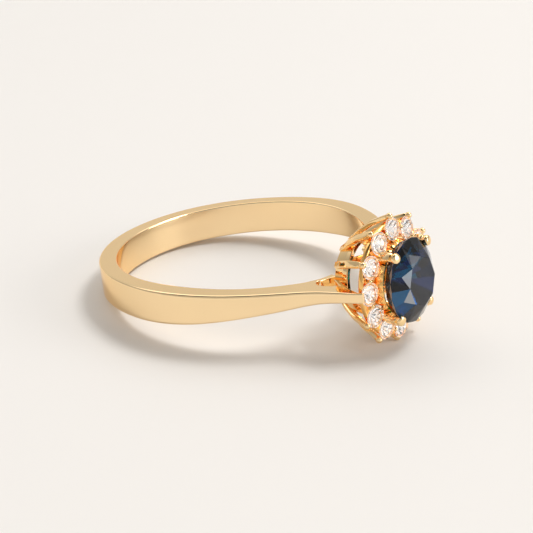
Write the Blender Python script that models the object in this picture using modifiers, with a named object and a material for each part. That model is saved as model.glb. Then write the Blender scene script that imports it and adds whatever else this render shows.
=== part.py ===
# Halo engagement ring: tapered cathedral shank, open basket head, twelve round
# halo stones and one oval centre stone.
#
# The ring is designed in its own frame and then laid on its side:
#   ring frame   X' from the centre of the finger hole out through the head,
#                Y' across the shoulders, Z' along the finger.
#   head frame   x = Y', y = Z', z = X' (the axis of the head), so every
#                setting piece is drawn upright.
# The empty "ring_seat" tips the ring frame so that the back edge of the shank
# and the lowest halo claw rest on the ground plane.
import bpy
import bmesh
import math
from mathutils import Matrix, Vector

MM = 0.001

# ---------------------------------------------------------------- dimensions
# All lengths below are millimetres.
BORE_R = 8.25                 # finger hole radius
BAND_HALF = 1.08              # half the band width along the finger, at the back
# Radial thickness of the band, by angle from the head (degrees, mm).
BAND_T = ((180.0, 1.18), (160.0, 1.19), (140.0, 1.18), (120.0, 1.12), (105.0, 1.12), (90.0, 1.23),
          (75.0, 1.30), (60.0, 1.28), (52.0, 1.28), (46.0, 1.34), (40.0, 1.46), (34.0, 1.65),
          (30.0, 1.85), (27.0, 2.13))
# Half width of the band along the finger, by angle from the head.
TAPER = ((180.0, 1.08), (120.0, 1.08), (100.0, 1.08), (90.0, 1.07), (80.0, 1.03), (70.0, 0.95),
         (60.0, 0.84), (52.0, 0.75), (46.0, 0.68), (40.0, 0.61), (34.0, 0.53), (30.0, 0.47),
         (27.0, 0.42), (24.0, 0.38), (20.0, 0.34), (16.0, 0.31), (6.0, 0.30))
TIP = (11.95, 3.76)           # outer corner of each shoulder tip (X', Y')
SLIT_START = (8.22, 3.28)     # closed end of the cathedral slit
ARM_R = 8.67                  # outer radius of the inner bridge arms
ARM_END = 11.3                # angle at which the bridge arms stop, degrees

HEAD_DROP = 0.0               # head centre along Z'
STATIONS = 12                 # halo stones and outer claws
HALO = (2.995, 3.165)         # halo centre line, semi-axes (x, y)
STONE_R = 0.73                # halo stone girdle radius
STONE_W = 11.73               # height of the halo girdles
STONE_LEAN = 8.0              # outward lean of the halo stones, degrees
RAIL_OUT = (3.42, 3.60)       # halo rail outline
RAIL_IN = (2.28, 2.45)        # halo rail opening
RAIL_W = (11.18, 11.58)       # halo rail bottom and top
CENTRE = (2.36, 2.66)         # centre stone girdle, semi-axes
CENTRE_W = 12.87              # height of the centre stone girdle
BASE_W = (8.70, 9.62)         # base ring bottom and top
BASE_RATIO = 0.93             # oval ratio of the base ring
COLLET_RATIO = 0.93           # oval ratio of the centre collet
# Outer claw centre line: height, semi-axis x, semi-axis y, wire radius.
CLAW = ((8.80, 2.04, 2.20, 0.15), (9.22, 2.35, 2.51, 0.16), (9.52, 2.61, 2.78, 0.16),
        (10.00, 2.94, 3.11, 0.16), (10.47, 3.25, 3.42, 0.16), (11.07, 3.50, 3.68, 0.16),
        (11.42, 3.62, 3.81, 0.17))
CLAW_BEAD = (11.77, 3.81, 3.98, 0.27)
# Centre claw centre line, at the four diagonals.
PRONG = ((8.86, 1.48, 1.60, 0.15), (9.55, 1.62, 1.74, 0.16), (10.25, 1.88, 2.06, 0.16),
         (10.90, 2.14, 2.40, 0.16), (11.40, 2.27, 2.62, 0.16), (12.05, 2.35, 2.76, 0.17),
         (12.60, 2.39, 2.81, 0.19))
PRONG_BEAD = (13.12, 2.37, 2.79, 0.31)
GAP = 0.025                   # solder and seat clearance

GOLD = (0.93, 0.68, 0.40, 1.0)
SAPPHIRE = (0.012, 0.045, 0.16, 1.0)
DIAMOND = (0.93, 0.95, 0.97, 1.0)

# --------------------------------------------------------------------- scene
for old in list(bpy.data.objects):
    bpy.data.objects.remove(old, do_unlink=True)

scene = bpy.context.scene
parts = bpy.data.collections.new("halo_ring")
cutters = bpy.data.collections.new("halo_ring_cutters")
scene.collection.children.link(parts)
scene.collection.children.link(cutters)


def material(name, colour, rough, metal, transmission=0.0, ior=1.45):
    mat = bpy.data.materials.new(name)
    mat.use_nodes = True
    node = mat.node_tree.nodes["Principled BSDF"]
    node.inputs["Base Color"].default_value = colour
    node.inputs["Roughness"].default_value = rough
    node.inputs["Metallic"].default_value = metal
    node.inputs["Transmission Weight"].default_value = transmission
    node.inputs["IOR"].default_value = ior
    mat.diffuse_color = colour
    return mat


def gold(name):
    return material(name + "_gold", GOLD, 0.16, 1.0)


# ------------------------------------------------------------ frame empties
def empty(name, parent, matrix):
    obj = bpy.data.objects.new(name, None)
    obj.empty_display_size = 2 * MM
    parts.objects.link(obj)
    obj.parent = parent
    obj.matrix_local = matrix
    return obj


reach = CLAW_BEAD[0] + BORE_R + BAND_T[0][1]
drop = CLAW_BEAD[2] - HEAD_DROP - BAND_HALF
lie = math.asin(CLAW_BEAD[3] / math.hypot(reach, drop)) + math.atan2(drop, reach)
SEAT_M = Matrix.Rotation(-lie, 4, "Y")
HEAD_M = Matrix(((0, 0, 1, 0), (1, 0, 0, 0), (0, 1, 0, HEAD_DROP * MM), (0, 0, 0, 1)))
seat = empty("ring_seat", None, SEAT_M)
head = empty("head_axis", seat, HEAD_M)
bpy.context.view_layer.update()


def add(name, mesh, parent, local, mat=None, cutter=False, smooth=40.0):
    """One named object on its parent empty, shaded smooth below an angle."""
    obj = bpy.data.objects.new(name, mesh)
    (cutters if cutter else parts).objects.link(obj)
    obj.parent = parent
    obj.matrix_local = local
    if mat is not None:
        mesh.materials.clear()
        mesh.materials.append(mat)
    if smooth:
        mesh.shade_smooth()
        mesh.set_sharp_from_angle(angle=math.radians(smooth))
    if cutter:
        obj.hide_render = True
        obj.display_type = "WIRE"
    return obj


def boolean(obj, other, operation="DIFFERENCE"):
    mod = obj.modifiers.new(other.name, "BOOLEAN")
    mod.operation = operation
    mod.solver = "EXACT"
    mod.object = other
    return mod


def mesh_of(obj):
    """The evaluated mesh of a curve or modifier object, welded at its caps."""
    deps = bpy.context.evaluated_depsgraph_get()
    mesh = bpy.data.meshes.new_from_object(obj.evaluated_get(deps))
    bm = bmesh.new()
    bm.from_mesh(mesh)
    bmesh.ops.remove_doubles(bm, verts=bm.verts, dist=1e-7)
    bmesh.ops.recalc_face_normals(bm, faces=bm.faces)
    bm.to_mesh(mesh)
    bm.free()
    bpy.data.objects.remove(obj, do_unlink=True)
    return mesh


def catmull(points, steps):
    """A smooth path through the points, with `steps` pieces in each span."""
    pts = [Vector(p) for p in points]
    ends = [2 * pts[0] - pts[1]] + pts + [2 * pts[-1] - pts[-2]]
    out = []
    for i in range(1, len(ends) - 2):
        a, b, c, d = ends[i - 1:i + 3]
        for k in range(steps):
            t = k / steps
            out.append(0.5 * ((2 * b) + (c - a) * t + (2 * a - 5 * b + 4 * c - d) * t * t
                              + (3 * b - a - 3 * c + d) * t ** 3))
    out.append(pts[-1])
    return out


def table(rows, x):
    """Smooth value from a short table of stations."""
    rows = sorted(rows)
    if x <= rows[0][0]:
        return rows[0][1]
    if x >= rows[-1][0]:
        return rows[-1][1]
    for i in range(len(rows) - 1):
        x0, y0 = rows[i]
        x1, y1 = rows[i + 1]
        if x0 <= x <= x1:
            m0 = (y1 - rows[i - 1][1]) / (x1 - rows[i - 1][0]) if i > 0 else 0.0
            m1 = (rows[i + 2][1] - y0) / (rows[i + 2][0] - x0) if i + 2 < len(rows) else (y1 - y0) / (x1 - x0)
            h = x1 - x0
            t = (x - x0) / h
            return ((2 * t ** 3 - 3 * t ** 2 + 1) * y0 + (t ** 3 - 2 * t ** 2 + t) * h * m0
                    + (-2 * t ** 3 + 3 * t ** 2) * y1 + (t ** 3 - t ** 2) * h * m1)
    return rows[-1][1]


def outline_solid(name, loops, half, centre=0.0):
    """A flat outline with holes, filled on both sides, extruded +-half."""
    curve = bpy.data.curves.new(name, "CURVE")
    curve.dimensions = "2D"
    curve.fill_mode = "BOTH"
    curve.extrude = half * MM
    for loop in loops:
        spline = curve.splines.new("POLY")
        spline.points.add(len(loop) - 1)
        for point, (x, y) in zip(spline.points, loop):
            point.co = (x * MM, y * MM, 0.0, 1.0)
        spline.use_cyclic_u = True
    obj = bpy.data.objects.new(name, curve)
    cutters.objects.link(obj)
    bpy.context.view_layer.update()
    mesh = mesh_of(obj)
    mesh.transform(Matrix.Translation((0, 0, centre * MM)))
    return mesh


def oval(rx, ry, n, start=0.0):
    return [(-rx * math.cos(start + 2 * math.pi * i / n), ry * math.sin(start + 2 * math.pi * i / n))
            for i in range(n)]


# ------------------------------------------------------------ halo stations
def even_angles(n, rx, ry, shift=0.0):
    """Parameter angles that divide an oval into equal arcs, from -x."""
    fine = 3600
    length = [0.0]
    for i in range(fine):
        a0, a1 = 2 * math.pi * i / fine, 2 * math.pi * (i + 1) / fine
        length.append(length[-1] + math.hypot(rx * (math.cos(a1) - math.cos(a0)),
                                              ry * (math.sin(a1) - math.sin(a0))))
    angles = []
    j = 0
    for k in range(n):
        want = length[-1] * ((k + shift) / n)
        while length[j + 1] < want:
            j += 1
        f = (want - length[j]) / (length[j + 1] - length[j])
        angles.append(2 * math.pi * (j + f) / fine)
    return angles


ANGLES = even_angles(STATIONS, *HALO)
MIDS = even_angles(STATIONS, *HALO, shift=0.5)
DIAGONALS = [MIDS[1], MIDS[4], MIDS[7], MIDS[10]]
BEADS = [MIDS[i] for i in (0, 2, 3, 5, 6, 8, 9, 11)]


def spot(angle, rx, ry, w):
    return Vector((-rx * math.cos(angle), ry * math.sin(angle), w))


def outward(angle, rx, ry):
    return Vector((-math.cos(angle) / rx, math.sin(angle) / ry, 0)).normalized()


def lean_matrix(angle, rx, ry, w, lean):
    """Frame whose z is the head axis leaned outward at a halo station."""
    out = outward(angle, rx, ry)
    along = Vector((0, 0, 1)).cross(out)
    lift = math.radians(lean)
    z = Vector((0, 0, math.cos(lift))) + out * math.sin(lift)
    x = along.cross(z)
    rot = Matrix((x, along, z)).transposed().to_4x4()
    return Matrix.Translation(spot(angle, rx, ry, w) * MM) @ rot


# -------------------------------------------------------------------- shank
def half_outline():
    """Shank outline for Y' >= 0, from the back round to the tip and back."""
    outer = []
    steps = 44
    first = BAND_T[-1][0]
    for i in range(steps + 1):
        deg = 180.0 - (180.0 - first) * i / steps
        r = BORE_R + table(BAND_T, deg)
        outer.append(Vector((r * math.cos(math.radians(deg)), r * math.sin(math.radians(deg)))))
    tail = catmull([outer[-2], outer[-1], (9.93, 4.40), (10.85, 4.11), (11.45, 3.95), TIP], 3)[3:]
    outer += [Vector(p) for p in tail[1:]]
    inner_arm = [(11.95, 3.52), (11.62, 3.47)]
    pad = [(11.16, 3.47)]
    flare = catmull([(11.16, 3.47), (10.80, 3.40), (10.45, 3.24), (9.92, 3.02)], 3)[1:]
    slit_out = catmull([(9.92, 3.02), (9.35, 3.33), (8.78, 3.55), (8.42, 3.49), SLIT_START], 3)[1:]
    slit_in = []
    a0 = math.degrees(math.atan2(SLIT_START[1] - 0.14, SLIT_START[0] - 0.10))
    for i in range(7):
        deg = a0 + (ARM_END - a0) * i / 6
        slit_in.append((ARM_R * math.cos(math.radians(deg)), ARM_R * math.sin(math.radians(deg))))
    bore = []
    for i in range(57):
        deg = ARM_END + (180.0 - ARM_END) * i / 56
        bore.append((BORE_R * math.cos(math.radians(deg)), BORE_R * math.sin(math.radians(deg))))
    return ([tuple(p) for p in outer], [tuple(p) for p in inner_arm] + pad + [tuple(p) for p in flare]
            + [tuple(p) for p in slit_out] + slit_in + bore)


outer_half, inner_half = half_outline()
# The whole outline: outer side, then the inner side back again, mirrored in Y'.
loop = outer_half[1:] + inner_half[:-1]
mirrored = [(x, -y) for x, y in reversed(loop)]
# The band is open at the head, so the outline is one closed loop: start at the
# back outside point, run round +Y', the bore, then round -Y'.
whole = [outer_half[0]] + loop
bore_back = [inner_half[-1]]
whole = whole + bore_back + [(x, -y) for x, y in reversed(inner_half[:-1])] + [(x, -y) for x, y in reversed(outer_half[1:])]
blank = outline_solid("shank_blank", [whole], 1.4)



def fan_solid(name, r0, r1):
    """A flat fan round the finger hole whose half height follows the taper."""
    bm = bmesh.new()
    rows = []
    first = TAPER[-1][0]
    span = 360.0 - 2 * first
    steps = 116
    for i in range(steps + 1):
        deg = first + span * i / steps
        half = table(TAPER, min(deg, 360.0 - deg))
        c, s = math.cos(math.radians(deg)), math.sin(math.radians(deg))
        rows.append([bm.verts.new((r * c * MM, r * s * MM, z * half * MM))
                     for r, z in ((r0, -1), (r1, -1), (r1, 1), (r0, 1))])
    for a, b in zip(rows, rows[1:]):
        for k in range(4):
            bm.faces.new((a[k], a[(k + 1) % 4], b[(k + 1) % 4], b[k]))
    bm.faces.new(rows[0])
    bm.faces.new(rows[-1])
    bmesh.ops.recalc_face_normals(bm, faces=bm.faces)
    mesh = bpy.data.meshes.new(name)
    bm.to_mesh(mesh)
    bm.free()
    return mesh


envelope = fan_solid("shank_side_cut", 5.0, 16.0)
shank = add("shank", blank, seat, Matrix.Identity(4), gold("shank"), smooth=35)
boolean(shank, add("shank_side_cut", envelope, seat, Matrix.Identity(4), cutter=True), "INTERSECT")


# ------------------------------------------------------- turned oval rings
def turned(name, profile, ratio, steps, mat_name):
    """A closed profile (radius, height) turned about the head axis, then
    narrowed across the shoulders to an oval."""
    mesh = bpy.data.meshes.new(name)
    bm = bmesh.new()
    verts = [bm.verts.new((r * MM, 0, w * MM)) for r, w in profile]
    for i in range(len(verts)):
        bm.edges.new((verts[i], verts[(i + 1) % len(verts)]))
    bm.to_mesh(mesh)
    bm.free()
    obj = bpy.data.objects.new(name, mesh)
    cutters.objects.link(obj)
    mod = obj.modifiers.new("turn", "SCREW")
    mod.axis = "Z"
    mod.angle = 2 * math.pi
    mod.steps = steps
    mod.render_steps = steps
    mod.use_merge_vertices = True
    mod.merge_threshold = 1e-7
    bpy.context.view_layer.update()
    solid = mesh_of(obj)
    solid.transform(Matrix.Diagonal((ratio, 1, 1, 1)))
    return add(name, solid, head, Matrix.Identity(4), gold(mat_name))


b0, b1 = BASE_W
base = turned("base_ring", [(2.50, b1), (2.44, 9.40), (2.16, b0), (1.88, b0), (1.92, 9.10), (2.10, b1)],
              BASE_RATIO, 56, "base_ring")
collet = turned("centre_collet", [(2.41, 12.44), (2.41, 11.26), (2.18, 11.26), (2.18, 12.44)],
                COLLET_RATIO, 56, "centre_collet")

rail_half = (RAIL_W[1] - RAIL_W[0]) / 2
rail = add("halo_rail", outline_solid("halo_rail_blank", [oval(*RAIL_OUT, 72), oval(*RAIL_IN, 60)],
                                      rail_half, (RAIL_W[0] + RAIL_W[1]) / 2),
           head, Matrix.Identity(4), gold("halo_rail"))


# --------------------------------------------------------------------- gems
def brilliant(name, rx, ry, table_ratio, crown, girdle, pavilion, waist=None):
    """A brilliant cut as the convex body of its facet corners: table, star
    points, girdle, lower points and culet. x and y are scaled to an oval."""
    points = []
    eighth = math.pi / 4
    tip = math.pi / 8
    # crown mains run from the table corners to the girdle
    slope = crown / (1 - table_ratio)
    star_r = table_ratio + 0.52 * (1 - table_ratio)
    star_z = crown - (star_r * math.cos(tip) - table_ratio) * slope
    low_r = 0.24
    foot = -pavilion
    for k in range(8):
        a = k * eighth
        points.append((table_ratio * math.cos(a), table_ratio * math.sin(a), crown))
        points.append((star_r * math.cos(a + tip), star_r * math.sin(a + tip), star_z))
    for k in range(16):
        a = k * tip
        points.append((math.cos(a), math.sin(a), 0.0))
        points.append((math.cos(a), math.sin(a), -girdle))
        if waist:
            points.append((waist[0] * math.cos(a), waist[0] * math.sin(a), -girdle - waist[1]))
    top = -girdle - (waist[1] if waist else 0.0)
    rim = waist[0] if waist else 1.0
    for k in range(8):
        a = k * eighth + tip
        z = top - (rim - low_r * math.cos(tip)) * (top - foot) / rim
        points.append((low_r * math.cos(a), low_r * math.sin(a), z))
    points.append((0, 0, foot))
    bm = bmesh.new()
    for x, y, z in points:
        bm.verts.new((x * rx * MM * 1000, y * ry * MM * 1000, z * rx * MM * 1000))
    bmesh.ops.convex_hull(bm, input=bm.verts)
    loose = [v for v in bm.verts if not v.link_faces]
    bmesh.ops.delete(bm, geom=loose, context="VERTS")
    bmesh.ops.dissolve_limit(bm, angle_limit=math.radians(0.6), verts=bm.verts, edges=bm.edges)
    bmesh.ops.scale(bm, vec=(0.001, 0.001, 0.001), verts=bm.verts)
    bmesh.ops.recalc_face_normals(bm, faces=bm.faces)
    mesh = bpy.data.meshes.new(name)
    bm.to_mesh(mesh)
    bm.free()
    return mesh


# Proportions in girdle radii: round halo stones, then the deeper oval.
ROUND = dict(table_ratio=0.57, crown=0.30, girdle=0.06, pavilion=0.90)
OVAL = dict(table_ratio=0.60, crown=0.31, girdle=0.05, pavilion=0.86, waist=(0.88, 0.17))

diamond_mat = material("halo_stone_diamond", DIAMOND, 0.02, 0.0, 0.0, 2.4)
stone_mesh = brilliant("halo_stone", STONE_R, STONE_R, **ROUND)
seat_scale = (STONE_R + GAP) / STONE_R
stones = []
for i, angle in enumerate(ANGLES):
    place = lean_matrix(angle, *HALO, STONE_W, STONE_LEAN)
    stones.append(add("halo_stone_%02d" % (i + 1), stone_mesh.copy(), head, place, diamond_mat, smooth=0))


def joined(name, pieces):
    """Several separate shapes in one cutter mesh, in the head frame."""
    bm = bmesh.new()
    for mesh, place in pieces:
        copy = mesh.copy()
        copy.transform(place)
        bm.from_mesh(copy)
        bpy.data.meshes.remove(copy)
    mesh = bpy.data.meshes.new(name)
    bm.to_mesh(mesh)
    bm.free()
    return add(name, mesh, head, Matrix.Identity(4), cutter=True, smooth=0)


def drill(radius, low, high, sides):
    mesh = bpy.data.meshes.new("drill")
    bm = bmesh.new()
    bmesh.ops.create_cone(bm, cap_ends=True, segments=sides, radius1=radius * MM, radius2=radius * MM,
                          depth=(high - low) * MM)
    bmesh.ops.translate(bm, vec=(0, 0, (high + low) / 2 * MM), verts=bm.verts)
    bm.to_mesh(mesh)
    bm.free()
    return mesh


grown = Matrix.Diagonal((seat_scale, seat_scale, seat_scale, 1))
seat_cut = joined("seat_cutters", [(stone_mesh, lean_matrix(a, *HALO, STONE_W, STONE_LEAN) @ grown)
                                   for a in ANGLES])
hole_cut = joined("seat_drills", [(drill(0.30, -0.95, -0.20, 14), lean_matrix(a, *HALO, STONE_W, STONE_LEAN))
                                  for a in ANGLES])

centre_mesh = brilliant("centre_stone", *CENTRE, **OVAL)
CENTRE_M = Matrix.Translation((0, 0, CENTRE_W * MM))
centre = add("centre_stone", centre_mesh, head, CENTRE_M,
             material("centre_stone_sapphire", SAPPHIRE, 0.03, 0.0, 0.0, 1.77), smooth=0)
centre_grow = Matrix.Diagonal((1 + GAP / CENTRE[0], 1 + GAP / CENTRE[0], 1 + GAP / CENTRE[0], 1))
centre_cut = joined("centre_cutter", [(centre_mesh, CENTRE_M @ centre_grow)])


# -------------------------------------------------------------------- claws
def claw_mesh(name, rows, bead, angle, grow=0.0, lean_in=0.0):
    """A tapered wire that ends in a round bead, as a poly curve with a radius
    at each point."""
    path = catmull([spot(angle, rx, ry, w) for w, rx, ry, r in rows]
                   + [spot(angle, bead[1], bead[2], bead[0])], 2)
    widths = []
    n = len(rows)
    radii = [r for w, rx, ry, r in rows] + [bead[3]]
    for i in range(len(path)):
        f = i / 2
        j = min(int(f), n - 1)
        widths.append(radii[j] + (radii[j + 1] - radii[j]) * (f - j) if f < n else bead[3])
    direction = (path[-1] - path[-2]).normalized()
    pts, rad = path[:-1], widths[:-1]
    tip = path[-1]
    # neck and dome of the bead
    for step in (-0.55, 0.0, 0.5, 0.8, 0.96):
        pts.append(tip + direction * bead[3] * step)
        rad.append(bead[3] * math.sqrt(1 - step * step))
    # drop path points that fall inside the bead
    keep = [k for k in range(len(path) - 1) if (path[k] - tip).dot(direction) < -0.75 * bead[3]]
    pts = [pts[k] for k in keep] + pts[len(path) - 1:]
    rad = [rad[k] for k in keep] + rad[len(path) - 1:]
    curve = bpy.data.curves.new(name, "CURVE")
    curve.dimensions = "3D"
    curve.bevel_depth = 1.0 * MM
    curve.bevel_resolution = 2
    curve.use_fill_caps = True
    spline = curve.splines.new("POLY")
    spline.points.add(len(pts) - 1)
    for point, co, r in zip(spline.points, pts, rad):
        point.co = (co.x * MM, co.y * MM, co.z * MM, 1.0)
        point.radius = r + grow
    obj = bpy.data.objects.new(name, curve)
    cutters.objects.link(obj)
    bpy.context.view_layer.update()
    return mesh_of(obj)


identity = Matrix.Identity(4)
claws = []
# The two claws behind the shoulder tips have no bead: the tips hold the stones.
TIP_CLAW = (11.70, 3.66, 3.83, 0.18)
ENDS = [TIP_CLAW if i in (0, STATIONS // 2) else CLAW_BEAD for i in range(STATIONS)]
for i, angle in enumerate(ANGLES):
    name = "halo_claw_%02d" % (i + 1)
    claw = add(name, claw_mesh(name, CLAW, ENDS[i], angle), head, identity, gold(name), smooth=50)
    boolean(claw, seat_cut)
    claws.append(claw)
prongs = []
for i, angle in enumerate(DIAGONALS):
    name = "centre_claw_%d" % (i + 1)
    prong = add(name, claw_mesh(name, PRONG, PRONG_BEAD, angle), head, identity, gold(name), smooth=50)
    boolean(prong, centre_cut)
    prongs.append(prong)

claw_cut = joined("claw_cutters", [(claw_mesh("c%d" % i, CLAW, ENDS[i], a, GAP), identity)
                                   for i, a in enumerate(ANGLES)])
prong_cut = joined("prong_cutters", [(claw_mesh("p%d" % i, PRONG, PRONG_BEAD, a, GAP), identity)
                                     for i, a in enumerate(DIAGONALS)])
boolean(rail, seat_cut)
boolean(rail, hole_cut)
boolean(rail, claw_cut)
boolean(rail, prong_cut)
boolean(collet, prong_cut)
boolean(collet, centre_cut)
boolean(base, claw_cut)
boolean(base, prong_cut)
boolean(shank, claw_cut)
boolean(shank, seat_cut)


# -------------------------------------------------------------------- beads
def bead_mesh(name):
    """A small round-headed pin that closes the gap between two halo stones."""
    profile = [(0.0, 0.26)]
    for k in range(1, 8):
        a = math.pi * 0.5 * k / 7
        profile.append((0.165 * math.sin(a), 0.10 + 0.16 * math.cos(a)))
    profile += [(0.13, 0.03), (0.045, -0.03), (0.045, -0.12), (0.0, -0.12)]
    mesh = bpy.data.meshes.new(name)
    bm = bmesh.new()
    verts = [bm.verts.new((r * MM, 0, z * MM)) for r, z in profile]
    for a, b in zip(verts, verts[1:]):
        bm.edges.new((a, b))
    bm.to_mesh(mesh)
    bm.free()
    obj = bpy.data.objects.new(name, mesh)
    cutters.objects.link(obj)
    mod = obj.modifiers.new("turn", "SCREW")
    mod.steps = 12
    mod.render_steps = 12
    mod.use_merge_vertices = True
    mod.merge_threshold = 1e-7
    bpy.context.view_layer.update()
    return mesh_of(obj)


for i, angle in enumerate(BEADS):
    name = "halo_bead_%d" % (i + 1)
    obj = add(name, bead_mesh(name), head, lean_matrix(angle, *HALO, STONE_W, STONE_LEAN), gold(name), smooth=60)
    boolean(obj, seat_cut)

# ------------------------------------------------------- set on the ground
bpy.context.view_layer.update()
deps = bpy.context.evaluated_depsgraph_get()
low = Vector((1e9, 1e9, 1e9))
high = -low
for obj in parts.objects:
    if obj.type != "MESH":
        continue
    solid = obj.evaluated_get(deps)
    for vert in solid.data.vertices:
        co = solid.matrix_world @ vert.co
        low = Vector(map(min, low, co))
        high = Vector(map(max, high, co))
seat.location = (-(low.x + high.x) / 2, -(low.y + high.y) / 2, -low.z)
bpy.context.view_layer.update()
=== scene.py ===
# Halo engagement ring: the looks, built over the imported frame.
import bpy
import bmesh
import math
from mathutils import Matrix, Vector


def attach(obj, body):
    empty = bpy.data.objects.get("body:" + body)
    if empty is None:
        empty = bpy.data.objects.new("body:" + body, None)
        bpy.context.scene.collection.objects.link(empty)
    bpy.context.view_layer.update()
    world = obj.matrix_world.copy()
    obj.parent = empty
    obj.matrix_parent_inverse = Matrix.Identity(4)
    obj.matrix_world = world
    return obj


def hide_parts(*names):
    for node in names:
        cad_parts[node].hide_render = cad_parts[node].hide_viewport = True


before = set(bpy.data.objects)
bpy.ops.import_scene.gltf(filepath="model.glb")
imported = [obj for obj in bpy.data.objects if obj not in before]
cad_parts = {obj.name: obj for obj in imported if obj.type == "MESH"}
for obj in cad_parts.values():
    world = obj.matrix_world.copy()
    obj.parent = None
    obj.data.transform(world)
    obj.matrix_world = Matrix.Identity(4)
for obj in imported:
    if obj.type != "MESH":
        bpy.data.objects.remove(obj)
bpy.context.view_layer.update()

MM = 0.001
scene = bpy.context.scene

# ------------------------------------------------------------------ frames
# ring frame, mm: X' through the head, Y' across the shoulders, Z' along the
# finger. head frame, mm: x = Y', y = Z', z = X'.
LIE = math.radians(8.51228)
RING = (Matrix.Translation((-2.10101 * MM, 0.0, 2.46395 * MM)) @ Matrix.Rotation(-LIE, 4, "Y")
        @ Matrix.Scale(MM, 4))
HEAD = RING @ Matrix(((0, 0, 1, 0), (1, 0, 0, 0), (0, 1, 0, 0), (0, 0, 0, 1)))

BORE = 8.25
HALF = ((180.0, 1.08), (120.0, 1.08), (100.0, 1.08), (90.0, 1.07), (80.0, 1.03), (70.0, 0.95),
        (60.0, 0.84), (52.0, 0.75), (46.0, 0.68), (40.0, 0.61), (34.0, 0.53), (30.0, 0.47),
        (27.0, 0.42), (24.0, 0.38), (20.0, 0.34), (16.0, 0.31), (6.0, 0.30))
THICK = ((180.0, 1.18), (160.0, 1.19), (140.0, 1.18), (120.0, 1.12), (105.0, 1.12), (90.0, 1.23),
         (75.0, 1.30), (60.0, 1.28), (52.0, 1.28), (46.0, 1.34), (40.0, 1.46), (34.0, 1.65),
         (30.0, 1.85), (27.0, 2.13))
STATIONS = 12
HALO = (2.995, 3.165)
STONE_R = 0.73
STONE_W = 11.93
LEAN = 8.0
CENTRE = (2.32, 2.66)
CENTRE_W = 13.00
# claw centre line: height, semi-axis x, semi-axis y, half thickness, half width
CLAW = ((8.74, 2.00, 2.16, 0.13, 0.20), (9.22, 2.35, 2.51, 0.15, 0.23), (9.52, 2.61, 2.78, 0.16, 0.24),
        (10.00, 2.93, 3.10, 0.165, 0.24), (10.47, 3.23, 3.40, 0.17, 0.24), (11.07, 3.48, 3.66, 0.175, 0.235),
        (11.42, 3.61, 3.80, 0.17, 0.215), (11.66, 3.71, 3.89, 0.165, 0.185))
CLAW_TOP = (11.84, 3.78, 3.96, 0.205)
PRONG = ((8.86, 1.48, 1.60, 0.15, 0.20), (9.55, 1.62, 1.74, 0.17, 0.23), (10.25, 1.88, 2.06, 0.19, 0.26),
         (10.90, 2.14, 2.40, 0.20, 0.27), (11.40, 2.29, 2.62, 0.21, 0.28), (12.05, 2.42, 2.80, 0.22, 0.29),
         (12.52, 2.49, 2.89, 0.23, 0.285), (12.86, 2.50, 2.90, 0.24, 0.285))
PRONG_TOP = (13.16, 2.45, 2.85, 0.33)


def table(rows, x):
    """Smooth value from a short table of stations."""
    rows = sorted(rows)
    if x <= rows[0][0]:
        return rows[0][1]
    if x >= rows[-1][0]:
        return rows[-1][1]
    for i in range(len(rows) - 1):
        x0, y0 = rows[i]
        x1, y1 = rows[i + 1]
        if x0 <= x <= x1:
            m0 = (y1 - rows[i - 1][1]) / (x1 - rows[i - 1][0]) if i > 0 else 0.0
            m1 = (rows[i + 2][1] - y0) / (rows[i + 2][0] - x0) if i + 2 < len(rows) else (y1 - y0) / (x1 - x0)
            h = x1 - x0
            t = (x - x0) / h
            return ((2 * t ** 3 - 3 * t ** 2 + 1) * y0 + (t ** 3 - 2 * t ** 2 + t) * h * m0
                    + (-2 * t ** 3 + 3 * t ** 2) * y1 + (t ** 3 - t ** 2) * h * m1)


def catmull(points, steps):
    """A smooth path through points of any length, `steps` pieces a span."""
    pts = [Vector(p) for p in points]
    ends = [2 * pts[0] - pts[1]] + pts + [2 * pts[-1] - pts[-2]]
    out = []
    for i in range(1, len(ends) - 2):
        a, b, c, d = ends[i - 1:i + 3]
        for k in range(steps):
            t = k / steps
            out.append(0.5 * ((2 * b) + (c - a) * t + (2 * a - 5 * b + 4 * c - d) * t * t
                              + (3 * b - a - 3 * c + d) * t ** 3))
    out.append(pts[-1])
    return out


# --------------------------------------------------------------- materials
def new_material(name):
    mat = bpy.data.materials.new(name)
    mat.use_nodes = True
    tree = mat.node_tree
    return mat, tree, tree.nodes["Principled BSDF"]


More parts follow.
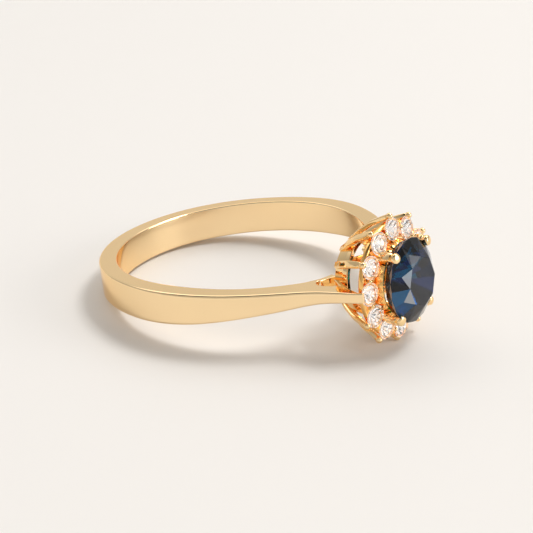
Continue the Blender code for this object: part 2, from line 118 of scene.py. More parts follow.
def gold_material(name, colour, rough, scratch=0.05, cloud=0.03):
    """Polished gold: a faint cloudy colour change, hairline polishing marks
    in the roughness and a very shallow bump."""
    mat, tree, bsdf = new_material(name)
    nodes, links = tree.nodes, tree.links
    coord = nodes.new("ShaderNodeTexCoord")
    big = nodes.new("ShaderNodeTexNoise")
    big.inputs["Scale"].default_value = 260.0
    big.inputs["Detail"].default_value = 3.0
    links.new(coord.outputs["Object"], big.inputs["Vector"])
    ramp = nodes.new("ShaderNodeValToRGB")
    ramp.color_ramp.elements[0].position = 0.25
    ramp.color_ramp.elements[0].color = tuple(c * (1 - cloud) for c in colour[:3]) + (1,)
    ramp.color_ramp.elements[1].position = 0.75
    ramp.color_ramp.elements[1].color = tuple(min(1, c * (1 + cloud * 0.5)) for c in colour[:3]) + (1,)
    links.new(big.outputs["Fac"], ramp.inputs["Fac"])
    links.new(ramp.outputs["Color"], bsdf.inputs["Base Color"])
    fine = nodes.new("ShaderNodeTexNoise")
    fine.inputs["Scale"].default_value = 5200.0
    fine.inputs["Detail"].default_value = 4.0
    stretch = nodes.new("ShaderNodeMapping")
    stretch.inputs["Scale"].default_value = (1.0, 0.35, 2.4)
    links.new(coord.outputs["Object"], stretch.inputs["Vector"])
    links.new(stretch.outputs["Vector"], fine.inputs["Vector"])
    spread = nodes.new("ShaderNodeMapRange")
    spread.inputs["To Min"].default_value = rough - scratch * 0.5
    spread.inputs["To Max"].default_value = rough + scratch
    links.new(fine.outputs["Fac"], spread.inputs["Value"])
    links.new(spread.outputs["Result"], bsdf.inputs["Roughness"])
    bump = nodes.new("ShaderNodeBump")
    bump.inputs["Strength"].default_value = 0.04
    bump.inputs["Distance"].default_value = 0.000008
    links.new(fine.outputs["Fac"], bump.inputs["Height"])
    links.new(bump.outputs["Normal"], bsdf.inputs["Normal"])
    bsdf.inputs["Metallic"].default_value = 1.0
    bsdf.inputs["Specular Tint"].default_value = (1.0, 0.87, 0.70, 1.0)
    return mat


def gem_material(name, colours, ior, rough=0.0, clear=1.0, gloss=0.5):
    """Clear polished stone. Each facet carries its own faint tint, painted to stand in for the dispersed and reflected
    light, plus a slight cloud inside."""
    mat, tree, bsdf = new_material(name)
    nodes, links = tree.nodes, tree.links
    attr = nodes.new("ShaderNodeAttribute")
    attr.attribute_name = "facet"
    ramp = nodes.new("ShaderNodeValToRGB")
    ramp.color_ramp.interpolation = "CONSTANT"
    els = ramp.color_ramp.elements
    els[0].position, els[0].color = 0.0, tuple(colours[0]) + (1,)
    els[1].position, els[1].color = 1.0 - 1.0 / len(colours), tuple(colours[-1]) + (1,)
    for k in range(1, len(colours) - 1):
        e = els.new(k / len(colours))
        e.color = tuple(colours[k]) + (1,)
    links.new(attr.outputs["Fac"], ramp.inputs["Fac"])
    coord = nodes.new("ShaderNodeTexCoord")
    noise = nodes.new("ShaderNodeTexNoise")
    noise.inputs["Scale"].default_value = 900.0
    links.new(coord.outputs["Object"], noise.inputs["Vector"])
    dim = nodes.new("ShaderNodeMapRange")
    dim.inputs["To Min"].default_value = 0.94
    dim.inputs["To Max"].default_value = 1.0
    links.new(noise.outputs["Fac"], dim.inputs["Value"])
    mix = nodes.new("ShaderNodeMix")
    mix.data_type = "RGBA"
    mix.blend_type = "MULTIPLY"
    mix.inputs["Factor"].default_value = 1.0
    links.new(ramp.outputs["Color"], mix.inputs["A"])
    links.new(dim.outputs["Result"], mix.inputs["B"])
    links.new(mix.outputs["Result"], bsdf.inputs["Base Color"])
    bsdf.inputs["Roughness"].default_value = rough
    bsdf.inputs["IOR"].default_value = ior
    bsdf.inputs["Transmission Weight"].default_value = clear
    bsdf.inputs["Specular IOR Level"].default_value = gloss
    return mat


GOLD_BAND = gold_material("gold_band", (1.0, 0.75, 0.44), 0.075, 0.04)
GOLD_HEAD = gold_material("gold_head", (1.0, 0.72, 0.38), 0.035, 0.03)
# Painted shade: a deeper orange copy of the gold for the parts sunk under the stones, the collet wall and the seat
# rail.
GOLD_PAINTED_SHADE = gold_material("gold_painted_shade", (1.0, 0.58, 0.20), 0.04, 0.03)
# Crown of the clear stones: white, with faint per-facet tints and greys that are painted sparkle and shade.
DIAMOND = gem_material("clear_stone", [(1.0, 1.0, 1.0), (0.90, 0.91, 0.93), (0.98, 0.99, 1.0), (0.80, 0.81, 0.84),
                                       (0.96, 0.97, 1.0), (1.0, 0.99, 0.97)], 2.42, clear=0.86)
DIAMOND_RIM = gem_material("clear_stone_rim", [(0.96, 0.97, 1.0), (0.90, 0.91, 0.94)], 2.42, 0.25, clear=0.6)
# Lower facets of the clear stones: mirrors whose peach and grey tints are painted reflections, with a painted glow
# added below.
DIAMOND_BACK_GLOWING = gem_material("clear_stone_back_painted_glow", [(0.98, 0.98, 1.0), (0.90, 0.91, 0.94), (1.0, 0.90, 0.80),
                                                 (0.96, 0.97, 1.0), (0.62, 0.64, 0.68), (1.0, 1.0, 1.0)], 2.42, 0.02,
                            clear=0.0)
# Painted shade: dark grey mirror facets, with one orange tint that is a painted reflection of the gold, set among the
# lower facets of the clear stones.
DIAMOND_PAINTED_SHADE = gem_material("clear_stone_painted_shade", [(0.30, 0.30, 0.32), (0.80, 0.50, 0.30), (0.16, 0.16, 0.18),
                                                   (0.60, 0.61, 0.64)], 2.42, 0.02, clear=0.0)
# Crown of the centre stone: its own deep blue, varied facet by facet with painted reflection and shade, lightest slate
# on the table.
SAPPHIRE = gem_material("blue_stone", [(0.06, 0.16, 0.21), (0.006, 0.056, 0.090), (0.010, 0.046, 0.064),
                                       (0.015, 0.420, 0.620), (0.020, 0.100, 0.160)], 1.50)
# Painted flash: brighter teal on some lower crown facets of the centre stone.
SAPPHIRE_PAINTED_FLASH = gem_material("blue_stone_painted_flash", [(0.014, 0.140, 0.320), (0.010, 0.080, 0.200)], 1.50, clear=0.35)
# Painted flashes: the centre stone's lower facets are mirrors tinted teal, blue and violet.
SAPPHIRE_BACK_PAINTED_FLASH = gem_material("blue_stone_back_painted_flash", [(0.04, 0.22, 0.46), (0.02, 0.62, 1.00), (0.03, 0.06, 0.14),
                                                 (0.24, 0.22, 0.70), (0.03, 0.13, 0.28), (0.04, 0.44, 0.92)], 1.77,
                             0.03, clear=0.0)
# Painted shade: the near-black outer band of the centre stone's lower facets, with little gloss.
SAPPHIRE_PAINTED_SHADE = gem_material("blue_stone_painted_shade", [(0.0015, 0.002, 0.004), (0.002, 0.004, 0.010)], 1.77, clear=0.2,
                             gloss=0.15)
# Girdle of the centre stone: frosted, and coloured orange-white as a painted highlight of the gold around it.
SAPPHIRE_RIM_PAINTED_HIGHLIGHT = gem_material("blue_stone_rim_painted_highlight", [(0.42, 0.24, 0.14), (0.50, 0.32, 0.20)], 1.77, 0.35, clear=0.2)
# Painted glint: pale grey star facets on the centre stone's crown.
SAPPHIRE_PAINTED_GLINT = gem_material("blue_stone_painted_glint", [(0.46, 0.49, 0.52), (0.50, 0.53, 0.56)], 1.77, 0.05, clear=0.3)
# The lower facets turn all the light back, like a mirror seen from inside.
for back in (DIAMOND_BACK_GLOWING, DIAMOND_PAINTED_SHADE, SAPPHIRE_BACK_PAINTED_FLASH):
    back.node_tree.nodes["Principled BSDF"].inputs["Metallic"].default_value = 1.0
# A painted glow: the lower facets of the clear stones give off a faint light of their own, though they are no lamp. It
# stands in for the coloured sparkle (dispersion) of the clear stones.
painted_glow = DIAMOND_BACK_GLOWING.node_tree.nodes["Principled BSDF"]
painted_glow.inputs["Emission Color"].default_value = (1.0, 0.97, 0.92, 1.0)
painted_glow.inputs["Emission Strength"].default_value = 0.46


# ------------------------------------------------------------------ pieces
def add(name, verts, faces, matrix, mat, node=None, smooth=35.0, weights=None, bevel=0.0,
        segments=3):
    """One closed mesh piece from vertices in mm, bevelled where weighted."""
    mesh = bpy.data.meshes.new(name)
    mesh.from_pydata([tuple(v) for v in verts], [], faces)
    bm = bmesh.new()
    bm.from_mesh(mesh)
    bmesh.ops.recalc_face_normals(bm, faces=bm.faces)
    if weights:
        layer = bm.edges.layers.float.new("bevel_weight_edge")
        bm.verts.ensure_lookup_table()
        for (a, b), w in weights.items():
            edge = bm.edges.get((bm.verts[a], bm.verts[b]))
            if edge:
                edge[layer] = w
    bm.to_mesh(mesh)
    bm.free()
    mesh.transform(matrix)
    obj = bpy.data.objects.new(name, mesh)
    scene.collection.objects.link(obj)
    mesh.materials.append(mat)
    if bevel:
        mod = obj.modifiers.new("round", "BEVEL")
        mod.width = bevel * MM
        mod.segments = segments
        mod.limit_method = "WEIGHT" if weights else "ANGLE"
        mod.angle_limit = math.radians(35)
        mod.use_clamp_overlap = True
        mod.harden_normals = False
    if smooth:
        mesh.shade_smooth()
        mesh.set_sharp_from_angle(angle=math.radians(smooth))
    finish_piece(obj, node)
    return obj


def finish_piece(obj, node):
    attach(obj, "root")
    if node:
        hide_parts(*([node] if isinstance(node, str) else node))


# ------------------------------------------------------------------- shank
def half_at(x, y):
    return table(HALF, abs(math.degrees(math.atan2(y, x))))


def polar(r, deg):
    return Vector((r * math.cos(math.radians(deg)), r * math.sin(math.radians(deg))))


def shank_piece():
    K = 9
    slit_end = [(8.06, 2.96), (8.12, 3.13), (8.24, 3.33), (8.44, 3.48), (8.72, 3.56)]
    # main rows, from the back to the shoulder: lists of K points across
    rows = []
    degs = [180.0 - 2.25 * i for i in range(69)]
    fr0 = [i / (K - 1) for i in range(K)]
    for d in degs:
        inner, outer = polar(BORE, d), polar(BORE + table(THICK, d), d)
        lean = max(0.0, min(1.0, (45.0 - d) / 18.0))
        fr1 = [0.0, 0.12, 0.22, 0.30, 0.40, 0.52, 0.66, 0.83, 1.0]
        rows.append([inner.lerp(outer, a + (b - a) * lean) for a, b in zip(fr0, fr1)])
    split = [polar(BORE, 20.9)]
    split.append(split[0].lerp(Vector(slit_end[0]), 0.5))
    split += [Vector(p) for p in slit_end]
    outer_pt = Vector((9.66, 4.515))
    split.append(split[-1].lerp(outer_pt, 0.5))
    split.append(outer_pt)
    mid = [a.lerp(b, 0.55) for a, b in zip(rows[-1], split)]
    mid[0] = polar(BORE, 24.2)
    mid[-1] = Vector((9.44, 4.615))
    rows += [mid, split]
    # outer arm: inner edge and outer edge points to the tip
    outer_p = catmull([(8.72, 3.56), (9.10, 3.43), (9.52, 3.25), (9.92, 3.04), (10.20, 3.25), (10.48, 3.44),
                       (10.80, 3.57), (11.12, 3.64), (11.50, 3.66), (11.93, 3.56)], 2)
    outer_q = catmull([tuple(outer_pt), (9.93, 4.40), (10.25, 4.295), (10.56, 4.20), (10.80, 4.125), (11.02, 4.065),
                       (11.24, 4.01), (11.46, 3.945), (11.72, 3.86), (11.97, 3.76)], 2)
    arm = [[p, p.lerp(q, 0.5), q] for p, q in zip(outer_p[1:], outer_q[1:])]
    inner = []
    for d, r in ((19.6, 8.64), (17.8, 8.66), (16.0, 8.665), (14.4, 8.67), (13.0, 8.70), (11.8, 8.76), (10.8, 8.86)):
        b, o = polar(BORE, d), polar(r, d)
        inner.append([b, b.lerp(o, 0.5), o])
    verts, faces, weights = [], [], {}

    def vert(p, sign, mirror):
        verts.append((p.x, -p.y if mirror else p.y, sign * half_at(p.x, p.y)))
        return len(verts) - 1

    BIG, SMALL = 1.0, 0.34

    def strip(prev, cur, k0, k1, walls=(True, True), w_in=BIG, w_out=BIG):
        """Top, bottom and side walls between two rows of (top, bottom) ids."""
        for k in range(k0, k1):
            faces.append((prev[0][k], prev[0][k + 1], cur[0][k + 1], cur[0][k]))
            faces.append((prev[1][k], cur[1][k], cur[1][k + 1], prev[1][k + 1]))
        if walls[0]:
            faces.append((prev[0][k0], cur[0][k0], cur[1][k0], prev[1][k0]))
            for s in (0, 1):
                weights[(prev[s][k0], cur[s][k0])] = w_in
        if walls[1]:
            faces.append((prev[0][k1], prev[1][k1], cur[1][k1], cur[0][k1]))
            for s in (0, 1):
                weights[(prev[s][k1], cur[s][k1])] = w_out

    back = None
    for mirror in (False, True):
        ids = []
        for i, row in enumerate(rows):
            if i == 0:
                if back is None:
                    back = ([vert(p, 1, False) for p in row], [vert(p, -1, False) for p in row])
                ids.append(back)
                continue
            ids.append(([vert(p, 1, mirror) for p in row], [vert(p, -1, mirror) for p in row]))
        for i, (a, b) in enumerate(zip(ids, ids[1:])):
            f = i / (len(ids) - 2)
            w_in = 0.62 if f < 0.8 else 0.62 - (0.62 - SMALL) * (f - 0.8) / 0.2
            strip(a, b, 0, K - 1, w_in=w_in, w_out=BIG)
        last = ids[-1]
        # wall of the slit's closed end, between top and bottom
        for k in range(2, 6):
            faces.append((last[0][k], last[1][k], last[1][k + 1], last[0][k + 1]))
            for s in (0, 1):
                weights[(last[s][k], last[s][k + 1])] = SMALL
        # outer arm
        prev = ([last[0][6], last[0][7], last[0][8]], [last[1][6], last[1][7], last[1][8]])
        n = len(arm)
        for j, row in enumerate(arm):
            cur = ([vert(p, 1, mirror) for p in row], [vert(p, -1, mirror) for p in row])
            f = (j + 1) / n
            strip(prev, cur, 0, 2, w_in=SMALL, w_out=BIG - (BIG - 0.45) * f)
            prev = cur
        for k in range(2):
            faces.append((prev[0][k], prev[0][k + 1], prev[1][k + 1], prev[1][k]))
            for s in (0, 1):
                weights[(prev[s][k], prev[s][k + 1])] = 0.30
        weights[(prev[0][0], prev[1][0])] = 0.30
        weights[(prev[0][2], prev[1][2])] = 0.30
        # inner arm
        prev = ([last[0][0], last[0][1], last[0][2]], [last[1][0], last[1][1], last[1][2]])
        for row in inner:
            cur = ([vert(p, 1, mirror) for p in row], [vert(p, -1, mirror) for p in row])
            strip(prev, cur, 0, 2, w_in=SMALL, w_out=SMALL)
            prev = cur
        for k in range(2):
            faces.append((prev[0][k], prev[0][k + 1], prev[1][k + 1], prev[1][k]))
    return add("shank_band", verts, faces, RING, GOLD_BAND, "shank", smooth=30, weights=weights, bevel=0.20,
               segments=4)


shank_piece()


# ----------------------------------------------------------- halo stations
def even_angles(n, rx, ry, shift=0.0):
    fine = 3600
    length = [0.0]
    for i in range(fine):
        a0, a1 = 2 * math.pi * i / fine, 2 * math.pi * (i + 1) / fine
        length.append(length[-1] + math.hypot(rx * (math.cos(a1) - math.cos(a0)),
                                              ry * (math.sin(a1) - math.sin(a0))))
    angles = []
    j = 0
    for k in range(n):
        want = length[-1] * ((k + shift) / n)
        while length[j + 1] < want:
            j += 1
        f = (want - length[j]) / (length[j + 1] - length[j])
        angles.append(2 * math.pi * (j + f) / fine)
    return angles


ANGLES = even_angles(STATIONS, *HALO)
MIDS = even_angles(STATIONS, *HALO, shift=0.5)
DIAGONALS = [MIDS[1], MIDS[4], MIDS[7], MIDS[10]]
BEADS = [MIDS[i] for i in (0, 2, 3, 5, 6, 8, 9, 11)]


def spot(angle, rx, ry, w):
    return Vector((-rx * math.cos(angle), ry * math.sin(angle), w))


def outward(angle, rx, ry):
    return Vector((-math.cos(angle) / rx, math.sin(angle) / ry, 0)).normalized()


def lean_matrix(angle, rx, ry, w, lean):
    out = outward(angle, rx, ry)
    along = Vector((0, 0, 1)).cross(out)
    lift = math.radians(lean)
    z = Vector((0, 0, math.cos(lift))) + out * math.sin(lift)
    x = along.cross(z)
    rot = Matrix((x, along, z)).transposed().to_4x4()
    return Matrix.Translation(spot(angle, rx, ry, w)) @ rot


# -------------------------------------------------------- turned oval rings
def oval_ring(name, profile, steps, mat, node, bevel=0.05, segments=2, angle=28):
    """A closed profile of (x radius, y radius, height) swept round the oval."""
    verts, faces = [], []
    n = len(profile)
    for i in range(steps):
        a = 2 * math.pi * i / steps
        for rx, ry, w in profile:
            verts.append((-rx * math.cos(a), ry * math.sin(a), w))
    for i in range(steps):
        j = (i + 1) % steps
        for k in range(n):
            m = (k + 1) % n
            faces.append((i * n + k, i * n + m, j * n + m, j * n + k))
    weights = {}
    for i in range(steps):
        j = (i + 1) % steps
        for k in range(n):
            weights[(i * n + k, j * n + k)] = 1.0
    return add(name, verts, faces, HEAD, mat, node, smooth=40, weights=weights, bevel=bevel, segments=segments)


oval_ring("base_gallery", [(2.37, 2.55, 9.86), (2.29, 2.47, 9.46), (2.02, 2.18, 8.70), (1.76, 1.90, 8.70),
                           (1.80, 1.94, 9.12), (2.03, 2.18, 9.86)], 120, GOLD_HEAD, "base_ring", 0.06, 3)


# -------------------------------------------------------------------- claws
def strap(name, rows, top, angle, node, dome=False, skip_top=False):
    """A flattened wire with rounded edges, swept up the head and closed by a
    domed bead."""
    path = catmull([tuple(spot(angle, rx, ry, w)) + (t, b) for w, rx, ry, t, b in rows], 5)
    out0 = outward(angle, rows[0][1], rows[0][2])
    tang = Vector((0, 0, 1)).cross(out0).normalized()
    verts, faces = [], []

    def section(centre, direction, t, b, power):
        normal = tang.cross(direction).normalized()
        ids = []
        for i in range(28):
            a = 2 * math.pi * (i + 0.5) / 28
            c, s = math.cos(a), math.sin(a)
            e = 2.0 / power
            u = math.copysign(abs(c) ** e, c) * b
            v = math.copysign(abs(s) ** e, s) * t
            verts.append(centre + tang * u + normal * v)
            ids.append(len(verts) - 1)
        return ids

    loops = []
    pts = [Vector(p[:3]) for p in path]
    for i, p in enumerate(path):
        d = (pts[min(i + 1, len(pts) - 1)] - pts[max(i - 1, 0)]).normalized()
        loops.append(section(pts[i], d, p[3], p[4], 4.6))
    if not skip_top:
        tip = spot(angle, top[1], top[2], top[0])
        d = (tip - pts[-1]).normalized()
        r = top[3]
        up = (d + Vector((0, 0, 0.6))).normalized()
        if dome:
            up = (up + outward(angle, top[1], top[2]) * 0.36).normalized()
            for step, wide in ((-0.62, 0.80), (-0.40, 0.93), (-0.15, 1.0), (0.10, 1.0), (0.28, 0.95), (0.40, 0.85),
                               (0.48, 0.68), (0.53, 0.45), (0.55, 0.2)):
                loops.append(section(tip + up * r * step, up, r * wide, r * wide, 2.0))
        else:
            for step in (-0.72, -0.45, -0.15, 0.15, 0.42, 0.66, 0.84, 0.95, 0.99):
                rr = r * math.sqrt(1 - step * step)
                loops.append(section(tip + up * r * step, up, rr, rr, 2.0))
    for a, b in zip(loops, loops[1:]):
        for i in range(28):
            j = (i + 1) % 28
            faces.append((a[i], a[j], b[j], b[i]))
    faces.append(tuple(loops[0]))
    faces.append(tuple(loops[-1]))
    return add(name, verts, faces, HEAD, GOLD_HEAD, node, smooth=50)


# Some claws were finished a little lower than the others.
LOWER = {2: 0.20, 3: 0.07, 9: 0.34, 10: 0.34, 11: 0.13}
for i, angle in enumerate(ANGLES):
    drop = LOWER.get(i, 0.0)
    rows = [(r[0] - drop * max(0.0, (r[0] - 11.0) / 0.84),) + r[1:] for r in CLAW]
    head = (CLAW_TOP[0] - drop,) + CLAW_TOP[1:3] + (CLAW_TOP[3] + (0.01 if drop > 0.3 else 0.0),)
    strap("claw_strap_%02d" % (i + 1), rows, head, angle, "halo_claw_%02d" % (i + 1),
          skip_top=i in (0, STATIONS // 2))
for i, angle in enumerate(DIAGONALS):
    strap("prong_%d" % (i + 1), PRONG, PRONG_TOP if i != 2 else (13.04, 2.44, 2.84, 0.27), angle, "centre_claw_%d" % (i + 1), dome=True)


# --------------------------------------------------------------------- gems
def hull_gem(name, points, scale, matrix, mats, node, seed=0, sort=None):
    """A faceted stone: the convex body of its facet corners."""
    bm = bmesh.new()
    for x, y, z in points:
        bm.verts.new((x * scale[0], y * scale[1], z * scale[2]))
    bmesh.ops.convex_hull(bm, input=bm.verts)
    bmesh.ops.delete(bm, geom=[v for v in bm.verts if not v.link_faces], context="VERTS")
    bmesh.ops.dissolve_limit(bm, angle_limit=math.radians(0.4), verts=bm.verts, edges=bm.edges)
    bmesh.ops.recalc_face_normals(bm, faces=bm.faces)
    mesh = bpy.data.meshes.new(name)
    bm.to_mesh(mesh)
    bm.free()
    for mat in mats:
        mesh.materials.append(mat)
    layer = mesh.attributes.new("facet", "FLOAT", "FACE")
    for k, face in enumerate(mesh.polygons):
        layer.data[k].value = ((k + seed) * 0.6180339887) % 1.0
        if sort:
            c = Vector([face.center[i] / scale[i] for i in range(3)])
            face.material_index, layer.data[k].value = sort(c, face.normal)
    mesh.transform(matrix)
    obj = bpy.data.objects.new(name, mesh)
    scene.collection.objects.link(obj)
    finish_piece(obj, node)
    return obj


def brilliant(table_r, crown, girdle, pavilion, low=0.78, waist=None):
    """Corner points of a 57-facet brilliant of unit girdle radius."""
    pts = []
    eighth, tip = math.pi / 4, math.pi / 8
    rim = 32
    slope = crown / (1 - table_r * math.cos(tip))
    for k in range(8):
        a = k * eighth
        pts.append((table_r * math.cos(a), table_r * math.sin(a), crown))
    # stars meet the bezels halfway out
    star = table_r * math.cos(tip) + 0.50 * (1 - table_r * math.cos(tip))
    star_z = crown - (star - table_r * math.cos(tip)) * slope * 0.93
    for k in range(8):
        a = k * eighth + tip
        pts.append((star * math.cos(a), star * math.sin(a), star_z))
    for k in range(rim):
        a = 2 * math.pi * k / rim
        wave = 0.018 * (1 + math.cos(16 * a))
        pts.append((math.cos(a), math.sin(a), wave - 0.018))
        pts.append((math.cos(a), math.sin(a), -girdle - wave + 0.018))
    if waist:
        for k in range(16):
            a = 2 * math.pi * (k + 0.5) / 16
            pts.append((waist[0] * math.cos(a), waist[0] * math.sin(a), -girdle - waist[1]))
    # pavilion halves meet the mains near the culet
    foot = -girdle - pavilion
    for k in range(8):
        a = k * eighth + tip
        r = 1 - low
        z = foot + pavilion * (r * 1.035)
        pts.append((r * math.cos(a), r * math.sin(a), z))
    pts.append((0, 0, foot))
    return pts


def clear_facets(seed):
    def sort(c, n):
        tint = ((math.degrees(math.atan2(c.y, c.x)) / 22.5 + 7 * c.z + seed) * 0.6180339887) % 1.0
        if abs(n.z) < 0.15:
            return 1, 0.0
        if n.z < 0:
            part = int((math.degrees(math.atan2(n.y, n.x)) % 360) // 11.25 + seed)
            # Every fifth lower facet takes the painted shade, the rest the glowing mirror finish.
            return (3 if part % 5 == 0 else 2), tint
        return 0, tint
    return sort


round_pts = brilliant(0.55, 0.31, 0.05, 0.86)
for i, angle in enumerate(ANGLES):
    turn = Matrix.Rotation(math.radians(11.0 * i), 4, "Z")
    hull_gem("diamond_%02d" % (i + 1), round_pts, (STONE_R, STONE_R, STONE_R),
             HEAD @ lean_matrix(angle, *HALO, STONE_W, LEAN) @ turn, [DIAMOND, DIAMOND_RIM, DIAMOND_BACK_GLOWING, DIAMOND_PAINTED_SHADE],
             "halo_stone_%02d" % (i + 1), sort=clear_facets(5 * i))

def blue_facets(c, n):
    """Which finish each facet of the centre stone takes, and its tint: painted flashes, glints and shade laid facet by
    facet over the stone's own blue. The crown's pattern repeats after half a turn."""
    turn = math.degrees(math.atan2(c.y, c.x)) % 360
    reach = math.hypot(c.x, c.y)
    if n.z > 0.995:
        return 0, 0.05
    # Girdle: frosted, with a painted highlight.
    if abs(n.z) < 0.15 and -0.08 < c.z < 0.03:
        return 2, 0.0
    if n.z < 0:
        # Painted shade on the outer band of the lower facets.
        if reach > 0.86:
            return 1, 0.0
        # Painted flashes: brighter teal tints on the lower facets of this side.
        if turn > 318 or turn < 30:
            return 4, (0.25, 0.90, 0.60)[int(turn // 11.25) % 3]
        return 4, (0.05, 0.45, 0.75, 0.25, 0.45, 0.05, 0.75, 0.45)[int(turn // 11.25) % 8]
    half = turn % 180
    if c.z > 0.20:
        # Painted glint on the upper star facets at both ends of the short axis.
        if half > 150 or half < 30:
            return 3, 0.0
        return 0, 0.45
    # Painted teal flash on the lower crown facets of this span.
    if 4 < half < 42:
        return 5, 0.0 if half < 28 else 0.6
    if 120 < half < 172:
        return 0, 0.25
    return 0, (0.25, 0.45, 0.85)[int(turn // 11.25) % 3]


oval_pts = brilliant(0.60, 0.33, 0.034, 0.86, waist=(0.935, 0.18))
hull_gem("sapphire", oval_pts, (CENTRE[0], CENTRE[1], CENTRE[0]), HEAD @ Matrix.Translation((0, 0, CENTRE_W)),
         [SAPPHIRE, SAPPHIRE_PAINTED_SHADE, SAPPHIRE_RIM_PAINTED_HIGHLIGHT, SAPPHIRE_PAINTED_GLINT, SAPPHIRE_BACK_PAINTED_FLASH,
          SAPPHIRE_PAINTED_FLASH], "centre_stone", sort=blue_facets)


# -------------------------------------------------------------------- beads
def grain(name, angle, node):
    """A small round-headed pin between two stones."""
    verts, faces = [], []
    rings = [(0.06, -0.14), (0.06, -0.04), (0.11, 0.0), (0.135, 0.05)]
    for k in range(1, 7):
        a = math.pi / 2 * k / 7
        rings.append((0.137 * math.cos(a), 0.05 + 0.14 * math.sin(a)))
    n = 20
    for r, z in rings:
        for i in range(n):
            a = 2 * math.pi * i / n
            verts.append((r * math.cos(a), r * math.sin(a), z))
    for k in range(len(rings) - 1):
        for i in range(n):
            j = (i + 1) % n
            faces.append((k * n + i, k * n + j, (k + 1) * n + j, (k + 1) * n + i))
    faces.append(tuple(range(n)))
    faces.append(tuple(range((len(rings) - 1) * n, len(rings) * n)))
    return add(name, verts, faces, HEAD @ lean_matrix(angle, *HALO, STONE_W, LEAN), GOLD_HEAD, node, smooth=60)


for i, angle in enumerate(BEADS):
    grain("grain_%d" % (i + 1), angle, "halo_bead_%d" % (i + 1))

def fluted_wall():
    """The inner wall under the centre stone, with scalloped flutes up it."""
    steps, flutes = 312, 26
    prof = [(2.38, 11.40, 1), (2.46, 11.55, 1), (2.46, 11.85, 1), (2.40, 12.08, 1), (2.34, 12.24, 0.5),
            (2.27, 12.30, 0), (2.16, 12.27, 0), (2.14, 11.40, 0)]
    verts, faces = [], []
    n = len(prof)
    for i in range(steps):
        a = 2 * math.pi * i / steps
        for r, w, f in prof:
            q = r - f * 0.11 * (abs(math.cos(flutes * a / 2)) ** 3)
            verts.append((-q * 0.93 * math.cos(a), q * math.sin(a), w))
    for i in range(steps):
        j = (i + 1) % steps
        for k in range(n):
            m = (k + 1) % n
            faces.append((i * n + k, i * n + m, j * n + m, j * n + k))
    # The wall takes the gold with painted shade, deeper orange under the stone.
    return add("collet_wall", verts, faces, HEAD, GOLD_PAINTED_SHADE, "centre_collet", smooth=50)


fluted_wall()


def seat_rail():
    """The oval rail under the halo stones, a smooth bar bored with one
    tapered seat for each stone."""
    steps = 180
    prof = []
    for k in range(24):
        a = 2 * math.pi * (k + 0.5) / 24
        c, t = math.cos(a), math.sin(a)
        prof.append((math.copysign(abs(c) ** 0.4, c) * 0.45, math.copysign(abs(t) ** 0.4, t) * 0.19))
    verts, faces = [], []
    n = len(prof)
    for i in range(steps):
        a = 2 * math.pi * i / steps
        for dr, dw in prof:
            verts.append((-(2.97 + dr) * math.cos(a), (3.15 + dr) * math.sin(a), 11.54 + dw))
    for i in range(steps):
        j = (i + 1) % steps
        for k in range(n):
            m = (k + 1) % n
            faces.append((i * n + k, i * n + m, j * n + m, j * n + k))

    def raw(name, verts, faces):
        mesh = bpy.data.meshes.new(name)
        mesh.from_pydata([tuple(v) for v in verts], [], faces)
        bm = bmesh.new()
        bm.from_mesh(mesh)
        bmesh.ops.recalc_face_normals(bm, faces=bm.faces)
        bm.to_mesh(mesh)
        bm.free()
        obj = bpy.data.objects.new(name, mesh)
        scene.collection.objects.link(obj)
        return obj

    rail = raw("seat_rail", verts, faces)
    cv, cf = [], []
    seg = 40
    for angle in ANGLES:
        m = lean_matrix(angle, *HALO, STONE_W, LEAN)
        base = len(cv)
        for r, z in ((0.74, 0.10), (0.56, -0.14), (0.30, -0.42), (0.30, -0.90)):
            for i in range(seg):
                a = 2 * math.pi * i / seg
                cv.append(m @ Vector((r * math.cos(a), r * math.sin(a), z)))
        for k in range(3):
            for i in range(seg):
                j = (i + 1) % seg
                cf.append((base + k * seg + i, base + k * seg + j, base + (k + 1) * seg + j, base + (k + 1) * seg + i))
        cf.append(tuple(base + i for i in range(seg)))
        cf.append(tuple(base + 3 * seg + i for i in range(seg)))
    cutter = raw("seat_cutter", cv, cf)
    cut = rail.modifiers.new("seats", "BOOLEAN")
    cut.operation = "DIFFERENCE"
    cut.solver = "EXACT"
    cut.object = cutter
    graph = bpy.context.evaluated_depsgraph_get()
    mesh = bpy.data.meshes.new_from_object(rail.evaluated_get(graph))
    rail.modifiers.clear()
    rail.data = mesh
    bpy.data.objects.remove(cutter, do_unlink=True)
    mesh.transform(HEAD)
    mesh.materials.clear()
    # The rail takes the gold with painted shade, deeper orange under the stones.
    mesh.materials.append(GOLD_PAINTED_SHADE)
    mesh.shade_smooth()
    mesh.set_sharp_from_angle(angle=math.radians(35))
    finish_piece(rail, "halo_rail")


seat_rail()

# ------------------------------------------------------------ floor, lights
floor_mesh = bpy.data.meshes.new("floor")
floor_mesh.from_pydata([(-3, -3, 0), (3, -3, 0), (3, 3, 0), (-3, 3, 0)], [], [(0, 1, 2, 3)])
floor = bpy.data.objects.new("floor", floor_mesh)
scene.collection.objects.link(floor)
fmat, ftree, fb = new_material("pale_floor")
fb.inputs["Base Color"].default_value = (0.86, 0.83, 0.80, 1)
fb.inputs["Roughness"].default_value = 0.55
fb.inputs["Specular IOR Level"].default_value = 0.2
floor_mesh.materials.append(fmat)

world = bpy.data.worlds.new("studio")
scene.world = world
world.use_nodes = True
wt = world.node_tree
bg = wt.nodes["Background"]


def wnode(kind, **inputs):
    node = wt.nodes.new(kind)
    for key, value in inputs.items():
        setattr(node, key, value)
    return node


def wmath(op, a, b=None):
    node = wnode("ShaderNodeMath", operation=op)
    for k, v in enumerate((a, b)):
        if v is None:
            continue
        if isinstance(v, (int, float)):
            node.inputs[k].default_value = v
        else:
            wt.links.new(v, node.inputs[k])
    return node.outputs[0]


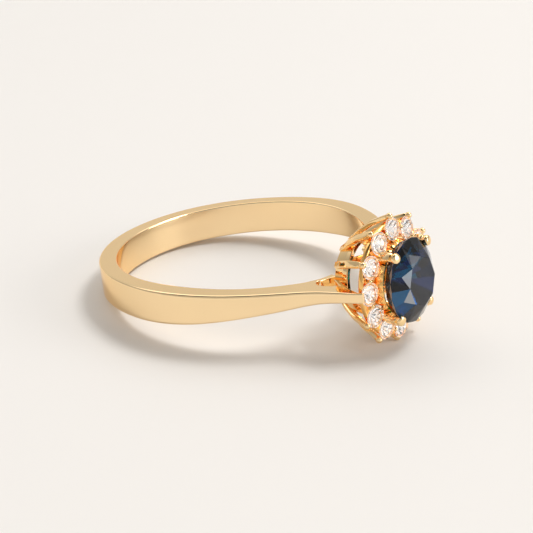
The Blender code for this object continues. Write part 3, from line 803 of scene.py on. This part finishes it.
# The studio is a soft tent: a bright ceiling panel behind the ring, a dark
# gap over it and a bright front, faded to an even grey at both sides.
wc = wt.nodes.new("ShaderNodeTexCoord")
sep = wt.nodes.new("ShaderNodeSeparateXYZ")
wt.links.new(wc.outputs["Generated"], sep.inputs["Vector"])
FRONT = (0.6009, -0.7993)
front = wmath("ADD", wmath("MULTIPLY", sep.outputs["X"], FRONT[0]), wmath("MULTIPLY", sep.outputs["Y"], FRONT[1]))
side = wmath("ADD", wmath("MULTIPLY", sep.outputs["X"], -FRONT[1]), wmath("MULTIPLY", sep.outputs["Y"], FRONT[0]))
arc = wmath("DIVIDE", wmath("ARCTAN2", wmath("MAXIMUM", sep.outputs["Z"], 0.0), wmath("MULTIPLY", front, -1.0)),
            math.pi)
ramp = wt.nodes.new("ShaderNodeValToRGB")
els = ramp.color_ramp.elements
TENT = ((0.00, 0.80), (0.10, 0.71), (0.20, 0.70), (0.27, 1.7), (0.40, 1.7), (0.46, 0.10), (0.62, 0.06),
        (0.72, 0.46), (0.86, 0.60), (1.00, 0.60))
els[0].position, els[0].color = TENT[0][0], (TENT[0][1],) * 3 + (1,)
els[1].position, els[1].color = TENT[-1][0], (TENT[-1][1],) * 3 + (1,)
for pos, val in TENT[1:-1]:
    els.new(pos).color = (val, val * 0.985, val * 0.96, 1)
wt.links.new(arc, ramp.inputs["Fac"])
fade = wt.nodes.new("ShaderNodeMapRange")
fade.interpolation_type = "SMOOTHSTEP"
fade.inputs["From Min"].default_value = 0.55
fade.inputs["From Max"].default_value = 0.92
wt.links.new(wmath("ABSOLUTE", side), fade.inputs["Value"])
wmix = wt.nodes.new("ShaderNodeMix")
wmix.data_type = "RGBA"
wt.links.new(fade.outputs["Result"], wmix.inputs["Factor"])
wt.links.new(ramp.outputs["Color"], wmix.inputs["A"])
wmix.inputs["B"].default_value = (0.46, 0.455, 0.45, 1)
# a small bright card low behind the stones
card = (0.867, 0.423, 0.262)
near = wmath("ADD", wmath("ADD", wmath("MULTIPLY", sep.outputs["X"], card[0]), wmath("MULTIPLY", sep.outputs["Y"], card[1])),
             wmath("MULTIPLY", sep.outputs["Z"], card[2]))
glow = wt.nodes.new("ShaderNodeMapRange")
glow.interpolation_type = "SMOOTHSTEP"
glow.inputs["From Min"].default_value = 0.945
glow.inputs["From Max"].default_value = 0.960
wt.links.new(near, glow.inputs["Value"])
cmix = wt.nodes.new("ShaderNodeMix")
cmix.data_type = "RGBA"
wt.links.new(glow.outputs["Result"], cmix.inputs["Factor"])
wt.links.new(wmix.outputs["Result"], cmix.inputs["A"])
cmix.inputs["B"].default_value = (4.2, 4.15, 4.05, 1)
wt.links.new(cmix.outputs["Result"], bg.inputs["Color"])
bg.inputs["Strength"].default_value = 1.0


def area(name, loc, target, size, power, colour=(1, 1, 1)):
    light = bpy.data.lights.new(name, "AREA")
    light.shape = "RECTANGLE"
    light.size, light.size_y = size
    light.energy = power
    light.color = colour
    obj = bpy.data.objects.new(name, light)
    scene.collection.objects.link(obj)
    obj.location = loc
    obj.rotation_mode = "QUATERNION"
    obj.rotation_quaternion = (Vector(target) - Vector(loc)).to_track_quat("-Z", "Y")
    return obj


area("key", (0.112, 0.180, 0.396), (0, 0, 0), (0.15, 0.13), 0.81, (1.0, 0.99, 0.965))

# ------------------------------------------------------------------- camera
cam_data = bpy.data.cameras.new("camera")
cam = bpy.data.objects.new("camera", cam_data)
scene.collection.objects.link(cam)
right = Vector((0.7982239, 0.6023471, 0.0040857))
up = Vector((-0.2518921, 0.3276280, 0.9106098))
back = Vector((0.5471645, -0.7278997, 0.4132470))
cam.matrix_world = Matrix.Translation((0.0570425, -0.0762598, 0.0455260)) @ Matrix((right, up, back)).transposed().to_4x4()
cam_data.sensor_width = 36.0
cam_data.lens = 109.04
cam_data.clip_start = 0.005
cam_data.clip_end = 20.0
cam_data.dof.use_dof = False
scene.camera = cam
scene.view_settings.view_transform = "Standard"
scene.view_settings.exposure = 0.0
# Light needs more turns inside a cut stone than the usual few.
scene.cycles.max_bounces = 24
scene.cycles.glossy_bounces = 16
scene.cycles.transmission_bounces = 20
